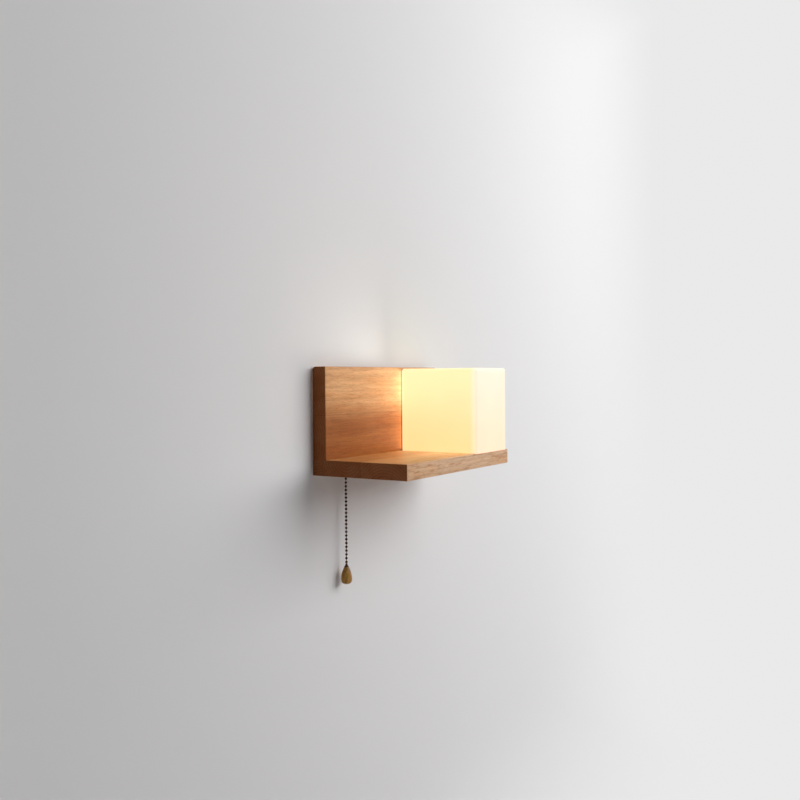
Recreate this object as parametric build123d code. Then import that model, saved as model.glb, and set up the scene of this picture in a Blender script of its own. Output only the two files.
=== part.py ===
"""Wall lamp: an L of two solid-wood boards, with an opal glass box shade and a pull-chain switch.

Millimetres. +Z is up, the wall is the plane Y = 0, the lamp stands out towards -Y and X = 0 is mid-width.
Z = 0 is the height of the keyholes' entry holes in the wall plate.
"""
import os
from math import cos, pi, sin
from build123d import *

OVER = 1.0                 # how far a cutting shape runs past a face

# Boards
WIDTH = 300.0              # both boards, left end to right end
DEPTH = 152.0              # wall to the shelf's front edge
HEIGHT = 150.0             # shelf underside to the back board's top
SHELF_T = 22.0             # shelf board thickness
BACK_T = 22.0              # back board thickness
KEYHOLE_HEIGHT = 95.0      # keyhole entry holes above the shelf underside
REBATE_DEPTH = 1.0         # the back board stands this deep in the shelf
SEAT_DEPTH = 1.0           # and the shade and its tray this deep
ARRIS = 1.0                # eased edges of the boards
BACK_ROUND = 5.0           # rear top edge of the back board
WOOD_FIT = 0.05            # radial room around dowels and screw shanks

# Screw heads
HEAD_RIM = 0.3             # upright rim of a countersunk head
CROSS_ARM = 0.3            # cross recess, as shares of the head's radius
CROSS_REACH = 1.15
PAN_ROUND = 0.55           # rounding of a pan head, as a share of its height

# Dowels and screws between the boards
DOWEL_R = 4.0
DOWEL_IN_SHELF = 12.0
DOWEL_IN_BACK = 11.0
DOWEL_FROM_WALL = 11.0
DOWEL_X = (-50.0, 25.0)
JOINT_SCREW_R = 2.0
JOINT_SCREW_HEAD_R = 4.0
JOINT_SCREW_LENGTH = 35.0
JOINT_SCREW_RECESS = 1.6
JOINT_SCREW_SUNK = 0.5     # head below the shelf underside
JOINT_SCREW_FROM_WALL = 12.5
JOINT_SCREW_FROM_END = 22.0
JOINT_SCREW_MID_X = 66.0

# Wall plate, sunk flush in the back board's rear
PLATE_W = 236.0
PLATE_T = 1.5
PLATE_BELOW = 69.0         # from the keyhole height down to its lower edge
PLATE_ABOVE = 24.0
PLATE_CORNER = 4.0
PLATE_CLEARANCE = 0.4      # all round in its recess
KEYHOLE_SPACING = 150.0
KEYHOLE_R = 4.75           # entry hole, for the head of a wall screw
KEYHOLE_SLOT = 5.0         # slot width, for its shank
KEYHOLE_RISE = 10.0        # slot length above the entry hole
HEAD_POCKET_DEPTH = 9.0    # room behind the plate for the screw head
HEAD_POCKET_ROOM = 1.5     # around the head
PLATE_SCREW_R = 1.5
PLATE_SCREW_HEAD_R = 2.9
PLATE_SCREW_LENGTH = 13.0
PLATE_SCREW_RECESS = 1.2
PLATE_SCREW_INSET = 6.0

# Wiring pocket, channels and groove in the rear, and the bore through the shelf
POCKET_DEPTH = 17.0
POCKET_LEFT = -34.0
POCKET_RIGHT = 44.0
POCKET_TOP = -14.0
POCKET_BOTTOM = -59.0
CHANNEL_Z = -50.0
CHANNEL_W = 11.0
CHANNEL_DEPTH = 15.0
WIRE_BORE_R = 4.5

# Cable grommet in the wall plate
GROMMET_X = -14.0
GROMMET_Z = -38.0
GROMMET_BORE_R = 4.0
GROMMET_NECK_R = 6.0
GROMMET_LIP_R = 7.5
GROMMET_LIP_T = 1.5        # lip inside the plate
GROMMET_NECK_FIT = 0.1

# Terminal block
TERMINAL_X = 20.0
TERMINAL_Z = -36.0
TERMINAL_PITCH = 8.5
TERMINAL_COUNT = 3
TERMINAL_H = 17.0
TERMINAL_T = 11.5
TERMINAL_LOBE_W = 7.3
TERMINAL_LOBE_ROUND = 1.5
TERMINAL_BOSS_RISE = 1.5   # screw bosses above the lobes
TERMINAL_BOSS_WALL = 1.2
TERMINAL_WEB_H = 9.0
TERMINAL_WEB_T = 5.0
TERMINAL_BORE_R = 1.5
TERMINAL_SCREW_R = 1.6
TERMINAL_SCREW_LENGTH = 3.4
TERMINAL_SLOT_W = 0.6
TERMINAL_SLOT_DEPTH = 0.8
TERMINAL_SCREW_SPREAD = 9.5
TERMINAL_BORE_Y = 6.0      # bore axis in front of the pocket floor
TERMINAL_FIXING_R = 1.3
TERMINAL_FIXING_HEAD_R = 2.2
TERMINAL_FIXING_LENGTH = 8.0
TERMINAL_FIXING_RECESS = 0.8

# Pull switch and chain
CHAIN_FROM_END = 61.0      # chain axis from the left end
CHAIN_FROM_WALL = 11.5
SWITCH_W = 25.0
SWITCH_T = 12.6
SWITCH_WALL = 1.4
SWITCH_ROUND = 2.0
SWITCH_ROOM = 0.4          # around the case in its pocket
COVER_T = 1.2
NIPPLE_R = 4.8
NIPPLE_BORE_R = 3.0
NIPPLE_STEP = 0.8          # shoulder that the case stands on
NIPPLE_FLANGE_R = 4.6      # spun over inside the case
NIPPLE_FLANGE_T = 1.2
NIPPLE_MOUTH_R = 0.7
NIPPLE_OUT = 6.0           # below the shelf underside
NIPPLE_FIT = 0.1
NIPPLE_HOLE_ROOM = 0.4     # around the nipple in the shelf
NUT_R = 8.0
NUT_H = 4.0
NUT_CHAMFER = 0.8
NUT_KNURLS = 24
KNURL_R = 0.6
KNURL_OUT = 0.25           # knurl axes outside the nut
PLUNGER_W = 13.0
PLUNGER_H = 6.0
PLUNGER_ROUND = 0.8
PLUNGER_ROOM = 0.25        # to the case and the cover
PLUNGER_TOP_GAP = 4.6      # above it in the case, where the ratchet drum sits
PULL_TRAVEL = 9.0
SPRING_R = 3.6
SPRING_WIRE = 0.7
SPRING_TURNS = 5.0
SPRING_RESERVE = 5.9       # coil left open when the chain is pulled right down
SPRING_GAP = 0.05          # at each end of the coil
DRUM_R = 4.2
DRUM_H = 2.6
DRUM_TEETH = 8
DRUM_NOTCH_LONG = 2.0
DRUM_NOTCH_WIDE = 1.1
CONTACT_T = 0.5
CONTACT_W = 5.0
CONTACT_FROM_AXIS = 8.2
CONTACT_GAP = 2.0          # between the lower and the upper blade
BEAD_R = 1.9
BEAD_PITCH = 5.42
CHAIN_WIRE_R = 0.55
SWIVEL_DROP = 3.6          # swivel bead's centre below the nipple's end
SWIVEL_GAP = 0.06          # between the swivel bead and the wires beside it
DROP_BEADS = 22
BELL_TOP_R = 1.5
BELL_R = 3.2
BELL_H = 4.6
BELL_RIM = 0.6
BELL_HOLLOW = 0.5          # how far its side curves in
BELL_GAP = 0.4             # below the last bead
KNOB_H = 24.0
KNOB_TOP_R = 3.4
KNOB_SHOULDER_R = 5.9
KNOB_SHOULDER = 0.26       # share of its height down to the shoulder
KNOB_R = 7.8
KNOB_WIDEST = 0.74         # share of its height down to where it is widest
KNOB_HEEL_R = 6.7
KNOB_HEEL = 0.93           # share of its height down to the heel's round
KNOB_FOOT_R = 4.4
KNOB_HOLE_DEPTH = 7.0

# Glass shade
SHADE_W = 110.0
SHADE_TOP_BELOW = 2.5      # its top below the back board's top
SHADE_WALL = 3.5
SHADE_INSET = 0.5          # from the shelf's front edge and right end
SHADE_BACK_GAP = 0.6       # to the back board
SHADE_EDGE_R = 10.0        # upright edges, outside
SHADE_TOP_R = 4.0          # top edges, outside
SHADE_INNER_R = 1.5        # top edges inside, and the least that the upright ones have there
SEAT_ROOM = 0.6            # beside the shade in its seat

# Tray under the shade and the leaf springs that hold the glass
TRAY_T = 1.0
TRAY_FLANGE = 10.0
TRAY_GAP = 3.0             # flange to glass
TRAY_CORNER = 4.0
TRAY_HOLE_R = 6.0
TRAY_SCREW_R = 1.7
TRAY_SCREW_HEAD_R = 3.2
TRAY_SCREW_HEAD_T = 1.6
TRAY_SCREW_LENGTH = 12.0
TRAY_SCREW_RECESS = 1.0
TRAY_SCREW_INSET = 9.0
SPRING_LEAF_T = 0.4
SPRING_LEAF_W = 14.0
SPRING_LEAF_GAP = 0.25     # to the glass
SPRING_LEAF_SPREAD = 60.0  # between the two on one flange
SPRING_LEAF_RISE = 1.2     # above the tray floor
SPRING_LEAF_BELOW = 0.4    # below the flange's edge

# Lampholder and bulb, heights above the tray floor
HOLDER_R = 19.5
HOLDER_H = 41.0
HOLDER_FLANGE_R = 27.0
HOLDER_FLANGE_T = 6.0
HOLDER_BORE_R = 14.4
HOLDER_FLOOR = 10.0
HOLDER_WEB = 3.0           # porcelain under the centre contact
HOLDER_CAVITY_R = 7.0
HOLDER_RIVET_R = 1.5
HOLDER_LIP = 1.5
HOLDER_ROUND = 0.6
HOLDER_SCREW_R = 1.5
HOLDER_SCREW_HEAD_R = 2.75
HOLDER_SCREW_HEAD_T = 2.0
HOLDER_SCREW_CIRCLE = 23.2
HOLDER_SCREW_LENGTH = 11.0
HOLDER_SCREW_RECESS = 1.1
SHELL_T = 0.5
SHELL_H = 25.0
SHELL_LIP = 3.0            # turned in on the holder's floor
SHELL_FIT = 0.15           # to the porcelain
CONTACT_DISC_R = 5.0
CONTACT_DISC_T = 0.6
CONTACT_RISE = 2.6         # sprung tongue above the holder floor
CONTACT_TONGUE_W = 4.0
CONTACT_TONGUE_T = 0.5
CONTACT_TONGUE_FOOT = 1.2
CONTACT_TONGUE_INSET = 1.0 # its feet inside the disc's edge
CONTACT_TOUCH = 0.1        # left between tongue and bulb tip
CAP_R = 13.2
CAP_T = 0.5
CAP_H = 23.0
CAP_CONE = 3.0             # sloping foot of the cap
TIP_R = 4.5
TIP_H = 1.6
INSULATOR_H = 3.2
INSULATOR_R = 9.5
INSULATOR_STEP = 0.5       # around the tip
PLUG_H = 18.0              # bulb housing inside the cap
COLLAR_R = 13.6            # bulb housing just above the cap
COLLAR_H = 3.0
BULB_R = 22.5
HOUSING_R = 21.5
HOUSING_H = 22.0
GLOBE_H = 28.5
GLOBE_WALL = 1.2
GLOBE_BULGE = 0.2          # of the dome's lower side

# Wires
WIRE_R = 1.1
WIRE_BEND = 5.0
TIGHT_BEND = 3.0
WIRE_SPREAD = 1.6          # sideways from the middle of a bore or groove
WIRE_FROM_WALL = 9.6       # middle of the wires in the rear channel
POLE_RUN = 15.0            # sideways run from a pole into the channel
WIRE_HOLE_ROOM = 0.25      # around a wire where it enters the switch
WIRE_END_GAP = 0.1         # left before a contact blade
EARTH_RISE = 1.6           # earth wire above the tray floor
EARTH_SCREW_FROM_LAMP = 38.0
EARTH_SCREW_R = 1.7
EARTH_SCREW_HEAD_R = 3.0
EARTH_SCREW_HEAD_T = 1.8
EARTH_SCREW_LENGTH = 8.0
EARTH_SCREW_RECESS = 1.0
TAG_T = 1.2                # ring tag under the earth screw
TAG_R = 3.8

# Derived positions
LEFT = -WIDTH / 2
RIGHT = WIDTH / 2
FRONT = -DEPTH
WALL = 0.0
UNDER = -KEYHOLE_HEIGHT
SHELF_TOP = UNDER + SHELF_T
BACK_TOP = UNDER + HEIGHT
REBATE_Z = SHELF_TOP - REBATE_DEPTH
SEAT_Z = SHELF_TOP - SEAT_DEPTH
CHAIN_X = LEFT + CHAIN_FROM_END
CHAIN_Y = -CHAIN_FROM_WALL
SHADE_RIGHT = RIGHT - SHADE_INSET
SHADE_LEFT = SHADE_RIGHT - SHADE_W
SHADE_FRONT = FRONT + SHADE_INSET
SHADE_REAR = -BACK_T - SHADE_BACK_GAP
SHADE_TOP = BACK_TOP - SHADE_TOP_BELOW
LAMP_X = (SHADE_LEFT + SHADE_RIGHT) / 2
LAMP_Y = (SHADE_FRONT + SHADE_REAR) / 2
TRAY_X = SHADE_W / 2 - SHADE_WALL - TRAY_GAP
TRAY_Y = (SHADE_REAR - SHADE_FRONT) / 2 - SHADE_WALL - TRAY_GAP
TRAY_TOP = SEAT_Z + TRAY_T
BORE_Z = (UNDER + SEAT_Z) / 2
SPRING_ROOM = SPRING_TURNS * SPRING_WIRE + PULL_TRAVEL + SPRING_RESERVE
SWITCH_H = 2 * SWITCH_WALL + NIPPLE_FLANGE_T + SPRING_ROOM + PLUNGER_H + PLUNGER_TOP_GAP
SWITCH_FRONT = CHAIN_Y - SWITCH_T / 2
SWITCH_REAR = CHAIN_Y + SWITCH_T / 2
SWITCH_TOP = REBATE_Z + SWITCH_H
CASE_FLOOR = REBATE_Z + SWITCH_WALL
CASE_CEILING = SWITCH_TOP - SWITCH_WALL
SPRING_FOOT = CASE_FLOOR + NIPPLE_FLANGE_T
PLUNGER_Z = SPRING_FOOT + SPRING_ROOM
NIPPLE_NECK_R = NIPPLE_R - NIPPLE_STEP
NIPPLE_END = UNDER - NIPPLE_OUT
SWIVEL_Z = NIPPLE_END - SWIVEL_DROP
LAST_BEAD_Z = SWIVEL_Z - DROP_BEADS * BEAD_PITCH
BELL_Z = LAST_BEAD_Z - BEAD_R - BELL_GAP
KNOB_Z = BELL_Z - BELL_H
KEYHOLE_X = (-KEYHOLE_SPACING / 2, KEYHOLE_SPACING / 2)
POCKET_FLOOR = -POCKET_DEPTH
TERMINAL_Y = POCKET_FLOOR + TERMINAL_BORE_Y
PLATE_SCREW_X = (-PLATE_W / 2 + PLATE_SCREW_INSET, 0.0, PLATE_W / 2 - PLATE_SCREW_INSET)
PLATE_SCREW_Z = (PLATE_ABOVE - PLATE_SCREW_INSET, PLATE_SCREW_INSET - PLATE_BELOW)
JOINT_SCREW_X = (LEFT + JOINT_SCREW_FROM_END, JOINT_SCREW_MID_X, RIGHT - JOINT_SCREW_FROM_END)
TIP_Z = TRAY_TOP + HOLDER_FLOOR + CONTACT_RISE + CONTACT_TOUCH
CAP_Z = TIP_Z + TIP_H + INSULATOR_H
COLLAR_Z = CAP_Z + CAP_H
GLOBE_Z = COLLAR_Z + HOUSING_H


def block(x, y, z):
    """Box between two limits on each axis."""
    size = (abs(x[1] - x[0]), abs(y[1] - y[0]), abs(z[1] - z[0]))
    middle = ((x[0] + x[1]) / 2, (y[0] + y[1]) / 2, (z[0] + z[1]) / 2)
    return Pos(*middle) * Box(*size)


def upright(x, y, z, radius):
    """Cylinder along Z between two heights."""
    return Pos(x, y, (z[0] + z[1]) / 2) * Cylinder(radius, abs(z[1] - z[0]))


def level(x, y, z, radius):
    """Cylinder along Y between two depths."""
    return Pos(x, (y[0] + y[1]) / 2, z) * Rot(90, 0, 0) * Cylinder(radius, abs(y[1] - y[0]))


def turned(x, y, z, outline):
    """Solid of revolution about a vertical axis from (radius, height) lines."""
    face = make_face(outline)
    return Pos(x, y, z) * revolve(Plane.XZ * face, Axis.Z)


def lines(points):
    """Closed straight outline."""
    return Polyline(*points, close=True)


def group(solids):
    """Separate solids as one node."""
    found = []
    for item in solids:
        found.extend(item.solids())
    return Compound(children=found)


def screw(radius, head_radius, length, recess):
    """Countersunk cross-recess screw: head's flat at Z = 0, shank downwards."""
    sink = head_radius - radius
    outline = lines([
        (0, 0), (head_radius, 0), (head_radius, -HEAD_RIM), (radius, -HEAD_RIM - sink),
        (radius, -length + 2 * radius), (0.2 * radius, -length), (0, -length),
    ])
    return turned(0, 0, 0, outline) - Pos(0, 0, -recess / 2) * cross(head_radius, recess)


def cross(head_radius, recess):
    """Driver's cross recess."""
    arm = CROSS_ARM * head_radius
    reach = CROSS_REACH * head_radius
    return Box(reach, arm, recess) + Box(arm, reach, recess)


def screw_hole(radius, head_radius, length, deeper):
    """Room for a countersunk screw set `deeper` below a surface at Z = 0."""
    fit = WOOD_FIT
    sink = head_radius - radius
    outline = lines([
        (0, deeper), (head_radius + fit, deeper), (head_radius + fit, -HEAD_RIM),
        (radius + fit, -HEAD_RIM - sink), (radius + fit, -length - fit), (0, -length - fit),
    ])
    return turned(0, 0, 0, outline)


def pan_screw(radius, head_radius, head_t, length, recess):
    """Round-headed screw: head's seat at Z = 0, shank downwards."""
    body = Pos(0, 0, head_t / 2) * Cylinder(head_radius, head_t)
    body = fillet(body.edges().group_by(Axis.Z)[-1], PAN_ROUND * head_t)
    body += Pos(0, 0, -length / 2) * Cylinder(radius, length)
    return body - Pos(0, 0, head_t - recess / 2) * cross(head_radius, recess)


# Places of the repeated pieces
TO_WALL = Rot(-90, 0, 0)           # a screw's head turned to face the wall


def joint_screw_places():
    """Under the shelf, heads down."""
    z = UNDER + JOINT_SCREW_SUNK
    return [Pos(x, -JOINT_SCREW_FROM_WALL, z) * Rot(180, 0, 0) for x in JOINT_SCREW_X]


def plate_screw_places():
    """In the wall plate's rear face."""
    return [Pos(x, WALL, z) * TO_WALL for x in PLATE_SCREW_X for z in PLATE_SCREW_Z]


def tray_screw_places():
    """In the tray's corners."""
    x = TRAY_X - TRAY_SCREW_INSET
    y = TRAY_Y - TRAY_SCREW_INSET
    return [Pos(LAMP_X + i * x, LAMP_Y + j * y, TRAY_TOP) for i in (-1, 1) for j in (-1, 1)]


def holder_screw_places():
    """On the lampholder's flange."""
    z = TRAY_TOP + HOLDER_FLANGE_T
    return [Pos(LAMP_X + i * HOLDER_SCREW_CIRCLE, LAMP_Y, z) for i in (-1, 1)]


def earth_screw_place():
    """On the ring tag, between the lampholder and the wall."""
    return Pos(LAMP_X, LAMP_Y + EARTH_SCREW_FROM_LAMP, TRAY_TOP + TAG_T)


def terminal_fixing_places():
    """Between the poles of the terminal block."""
    y = POCKET_FLOOR + TERMINAL_WEB_T
    return [Pos(TERMINAL_X + i * TERMINAL_PITCH / 2, y, TERMINAL_Z) * TO_WALL for i in (-1, 1)]


def pole_x():
    """Terminal poles from left to right."""
    first = TERMINAL_X - TERMINAL_PITCH * (TERMINAL_COUNT - 1) / 2
    return [first + i * TERMINAL_PITCH for i in range(TERMINAL_COUNT)]


# Boards
def dowel_places(room):
    """Dowels, or their holes when given room around them."""
    z = (REBATE_Z - DOWEL_IN_SHELF - room, REBATE_Z + DOWEL_IN_BACK + room)
    return [upright(x, -DOWEL_FROM_WALL, z, DOWEL_R + room) for x in DOWEL_X]


def joint_screw_hole():
    """Countersunk hole through the shelf and on into the back board."""
    return screw_hole(JOINT_SCREW_R, JOINT_SCREW_HEAD_R, JOINT_SCREW_LENGTH, JOINT_SCREW_SUNK + OVER)


def pilot(place, radius, length):
    """Hole for a round-headed screw whose seat is at `place`."""
    return place * Pos(0, 0, -length / 2) * Cylinder(radius + WOOD_FIT, length + 2 * WOOD_FIT)


def shelf_board():
    """Shelf with the back board's shallow rebate, the shade's seat and the bores."""
    board = block((LEFT, RIGHT), (FRONT, WALL), (UNDER, SHELF_TOP))
    rear = board.faces().sort_by(Axis.Y)[-1].edges()
    board = fillet(board.edges() - rear, ARRIS)
    board -= block((LEFT - OVER, RIGHT + OVER), (-BACK_T, OVER), (REBATE_Z, SHELF_TOP + OVER))
    seat_x = (SHADE_LEFT - SEAT_ROOM, RIGHT + OVER)
    board -= block(seat_x, (FRONT - OVER, -BACK_T), (SEAT_Z, SHELF_TOP + OVER))
    for hole in dowel_places(WOOD_FIT):
        board -= hole
    for place in joint_screw_places():
        board -= place * joint_screw_hole()
    for place in tray_screw_places():
        board -= pilot(place, TRAY_SCREW_R, TRAY_SCREW_LENGTH)
    for place in holder_screw_places():
        board -= pilot(place, HOLDER_SCREW_R, HOLDER_SCREW_LENGTH)
    board -= pilot(earth_screw_place(), EARTH_SCREW_R, EARTH_SCREW_LENGTH)
    board -= upright(CHAIN_X, CHAIN_Y, (UNDER - OVER, REBATE_Z + OVER), NIPPLE_R + NIPPLE_HOLE_ROOM)
    board -= level(LAMP_X, (LAMP_Y - WIRE_BORE_R, OVER), BORE_Z, WIRE_BORE_R)
    board -= upright(LAMP_X, LAMP_Y, (BORE_Z, SEAT_Z + OVER), WIRE_BORE_R)
    groove_x = (LAMP_X - WIRE_BORE_R, LAMP_X + WIRE_BORE_R)
    return board - block(groove_x, (-CHANNEL_DEPTH, OVER), (BORE_Z, REBATE_Z + OVER))


def plate_screw_hole():
    """Countersunk hole through the wall plate and on into the back board."""
    return screw_hole(PLATE_SCREW_R, PLATE_SCREW_HEAD_R, PLATE_SCREW_LENGTH, OVER)


def slot(x, y, radius):
    """Upright round-ended slot over a keyhole's rise."""
    ends = level(x, y, 0, radius) + level(x, y, KEYHOLE_RISE, radius)
    return ends + block((x - radius, x + radius), y, (0, KEYHOLE_RISE))


def back_board():
    """Back board with the plate's recess, the pockets and the channels in its rear."""
    board = block((LEFT, RIGHT), (-BACK_T, WALL), (REBATE_Z, BACK_TOP))
    board = fillet(board.edges().group_by(Axis.Z)[-1].sort_by(Axis.Y)[-1], BACK_ROUND)
    ends = board.faces().sort_by(Axis.X)[0].edges() + board.faces().sort_by(Axis.X)[-1].edges()
    ends = ends - board.faces().sort_by(Axis.Z)[0].edges()
    front_top = board.faces().sort_by(Axis.Y)[0].edges().sort_by(Axis.Z)[-1]
    board = fillet(ends + [front_top], ARRIS)
    room = PLATE_CLEARANCE
    recess_x = PLATE_W / 2 + room
    board -= block((-recess_x, recess_x), (-PLATE_T, OVER), (-PLATE_BELOW - room, PLATE_ABOVE + room))
    board -= block((POCKET_LEFT, POCKET_RIGHT), (POCKET_FLOOR, OVER), (POCKET_BOTTOM, POCKET_TOP))
    half = SWITCH_W / 2 + SWITCH_ROOM
    switch_z = (REBATE_Z - OVER, SWITCH_TOP + SWITCH_ROOM)
    board -= block((CHAIN_X - half, CHAIN_X + half), (SWITCH_FRONT - SWITCH_ROOM, OVER), switch_z)
    channel_z = (CHANNEL_Z - CHANNEL_W / 2, CHANNEL_Z + CHANNEL_W / 2)
    board -= block((CHAIN_X, LAMP_X + WIRE_BORE_R), (-CHANNEL_DEPTH, OVER), channel_z)
    groove_x = (LAMP_X - WIRE_BORE_R, LAMP_X + WIRE_BORE_R)
    board -= block(groove_x, (-CHANNEL_DEPTH, OVER), (REBATE_Z - OVER, channel_z[1]))
    for x in KEYHOLE_X:
        board -= slot(x, (-HEAD_POCKET_DEPTH, OVER), KEYHOLE_R + HEAD_POCKET_ROOM)
    for hole in dowel_places(WOOD_FIT):
        board -= hole
    for place in joint_screw_places():
        board -= place * joint_screw_hole()
    for place in plate_screw_places():
        board -= place * plate_screw_hole()
    for place in terminal_fixing_places():
        board -= place * screw_hole(TERMINAL_FIXING_R, TERMINAL_FIXING_HEAD_R, TERMINAL_FIXING_LENGTH, 0)
    return board


def joint_dowels():
    return group(dowel_places(0.0))


def joint_screws():
    one = screw(JOINT_SCREW_R, JOINT_SCREW_HEAD_R, JOINT_SCREW_LENGTH, JOINT_SCREW_RECESS)
    return group([place * one for place in joint_screw_places()])


# Wall plate and cable entry
def wall_plate():
    """Steel plate with two keyholes, the grommet's hole and countersunk screw holes."""
    plate = block((-PLATE_W / 2, PLATE_W / 2), (-PLATE_T, WALL), (-PLATE_BELOW, PLATE_ABOVE))
    plate = fillet(plate.edges().filter_by(Axis.Y), PLATE_CORNER)
    through = (-PLATE_T - OVER, OVER)
    for x in KEYHOLE_X:
        plate -= level(x, through, 0, KEYHOLE_R) + slot(x, through, KEYHOLE_SLOT / 2)
    plate -= level(GROMMET_X, through, GROMMET_Z, GROMMET_NECK_R + GROMMET_NECK_FIT)
    for place in plate_screw_places():
        plate -= place * plate_screw_hole()
    return plate


def wall_plate_screws():
    one = screw(PLATE_SCREW_R, PLATE_SCREW_HEAD_R, PLATE_SCREW_LENGTH, PLATE_SCREW_RECESS)
    return group([place * one for place in plate_screw_places()])


def cable_grommet():
    """Rubber bush through the plate, flush with the wall, with a lip inside."""
    inner = -PLATE_T - GROMMET_LIP_T
    body = level(GROMMET_X, (inner, WALL), GROMMET_Z, GROMMET_NECK_R)
    body += level(GROMMET_X, (inner, -PLATE_T), GROMMET_Z, GROMMET_LIP_R)
    return body - level(GROMMET_X, (inner - OVER, OVER), GROMMET_Z, GROMMET_BORE_R)


def terminal_block():
    """Three poles on a common web, bored through for the wires."""
    poles = pole_x()
    z = TERMINAL_Z
    web_y = (POCKET_FLOOR, POCKET_FLOOR + TERMINAL_WEB_T)
    body = block((poles[0], poles[-1]), web_y, (z - TERMINAL_WEB_H / 2, z + TERMINAL_WEB_H / 2))
    half = TERMINAL_LOBE_W / 2
    rear = POCKET_FLOOR + TERMINAL_T
    lobe_y = (POCKET_FLOOR, rear - TERMINAL_BOSS_RISE)
    for x in poles:
        lobe = block((x - half, x + half), lobe_y, (z - TERMINAL_H / 2, z + TERMINAL_H / 2))
        body += fillet(lobe.edges().filter_by(Axis.Z).group_by(Axis.Y)[-1], TERMINAL_LOBE_ROUND)
        for i in (-1, 1):
            at = z + i * TERMINAL_SCREW_SPREAD / 2
            body += level(x, (TERMINAL_Y, rear), at, TERMINAL_SCREW_R + TERMINAL_BOSS_WALL)
            body -= level(x, (TERMINAL_Y, rear + OVER), at, TERMINAL_SCREW_R + WOOD_FIT)
    for x in poles:
        body -= upright(x, TERMINAL_Y, (z - TERMINAL_H, z + TERMINAL_H), TERMINAL_BORE_R)
    for place in terminal_fixing_places():
        body -= place * screw_hole(
            TERMINAL_FIXING_R, TERMINAL_FIXING_HEAD_R, TERMINAL_FIXING_LENGTH, TERMINAL_T)
    return body


def terminal_screws():
    """Clamp screws, slotted, above the wire bores."""
    low = TERMINAL_Y + TERMINAL_BORE_R
    high = low + TERMINAL_SCREW_LENGTH
    half = TERMINAL_SLOT_W / 2
    screws = []
    for x in pole_x():
        slot_x = (x - TERMINAL_SCREW_R, x + TERMINAL_SCREW_R)
        for i in (-1, 1):
            at = TERMINAL_Z + i * TERMINAL_SCREW_SPREAD / 2
            one = level(x, (low, high), at, TERMINAL_SCREW_R)
            one -= block(slot_x, (high - TERMINAL_SLOT_DEPTH, high + OVER), (at - half, at + half))
            screws.append(one)
    return group(screws)


def terminal_fixings():
    one = screw(TERMINAL_FIXING_R, TERMINAL_FIXING_HEAD_R, TERMINAL_FIXING_LENGTH, TERMINAL_FIXING_RECESS)
    return group([place * one for place in terminal_fixing_places()])


# Pull switch
def switch_case():
    """Moulded case, open to the rear, standing in the rebate."""
    half = SWITCH_W / 2
    x = (CHAIN_X - half, CHAIN_X + half)
    case = block(x, (SWITCH_FRONT, SWITCH_REAR - COVER_T), (REBATE_Z, SWITCH_TOP))
    case = fillet(case.edges().filter_by(Axis.Y).group_by(Axis.Z)[-1], SWITCH_ROUND)
    inside = (x[0] + SWITCH_WALL, x[1] - SWITCH_WALL)
    case -= block(inside, (SWITCH_FRONT + SWITCH_WALL, SWITCH_REAR), (CASE_FLOOR, CASE_CEILING))
    case -= upright(CHAIN_X, CHAIN_Y, (REBATE_Z - OVER, CASE_FLOOR + OVER), NIPPLE_NECK_R + NIPPLE_FIT)
    wire_hole = Rot(0, 90, 0) * Cylinder(WIRE_R + WIRE_HOLE_ROOM, 2 * (SWITCH_WALL + OVER))
    for z in switch_wire_heights():
        case -= Pos(x[1], switch_wire_y(), z) * wire_hole
    return case


def switch_wire_y():
    """Depth of the live wires in the rear channel."""
    return WIRE_SPREAD - WIRE_FROM_WALL


def switch_wire_heights():
    """Switched and live wire where they enter the switch's right side."""
    return (CHANNEL_Z + 2 * WIRE_SPREAD, CHANNEL_Z - WIRE_SPREAD)


def switch_cover():
    x = (CHAIN_X - SWITCH_W / 2, CHAIN_X + SWITCH_W / 2)
    plate = block(x, (SWITCH_REAR - COVER_T, SWITCH_REAR), (REBATE_Z, SWITCH_TOP))
    return fillet(plate.edges().filter_by(Axis.Y).group_by(Axis.Z)[-1], SWITCH_ROUND)


def switch_plunger():
    """Slider that the chain pulls down against the coil."""
    y = (SWITCH_FRONT + SWITCH_WALL + PLUNGER_ROOM, SWITCH_REAR - COVER_T - PLUNGER_ROOM)
    x = (CHAIN_X - PLUNGER_W / 2, CHAIN_X + PLUNGER_W / 2)
    body = block(x, y, (PLUNGER_Z, PLUNGER_Z + PLUNGER_H))
    return fillet(body.edges().filter_by(Axis.Y), PLUNGER_ROUND)


def ratchet_drum():
    """Toothed drum above the plunger that turns one step for each pull."""
    low = CASE_CEILING - DRUM_H
    drum = upright(CHAIN_X, CHAIN_Y, (low, CASE_CEILING), DRUM_R)
    step = 360.0 / DRUM_TEETH
    notch = Box(DRUM_NOTCH_LONG, DRUM_NOTCH_WIDE, DRUM_H)
    for i in range(DRUM_TEETH):
        drum -= Pos(CHAIN_X, CHAIN_Y, low) * Rot(0, 0, i * step) * Pos(DRUM_R, 0, 0) * notch
    return drum


def switch_spring():
    """Coil between the nipple's flange and the plunger."""
    height = SPRING_ROOM - SPRING_WIRE - 2 * SPRING_GAP
    path = Helix(height / SPRING_TURNS, height, SPRING_R)
    section = Plane(origin=path @ 0, x_dir=(1, 0, 0), z_dir=path % 0) * RegularPolygon(SPRING_WIRE / 2, 6)
    coil = sweep(section, path, is_frenet=True)
    return Pos(CHAIN_X, CHAIN_Y, SPRING_FOOT + SPRING_WIRE / 2 + SPRING_GAP) * coil


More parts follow.
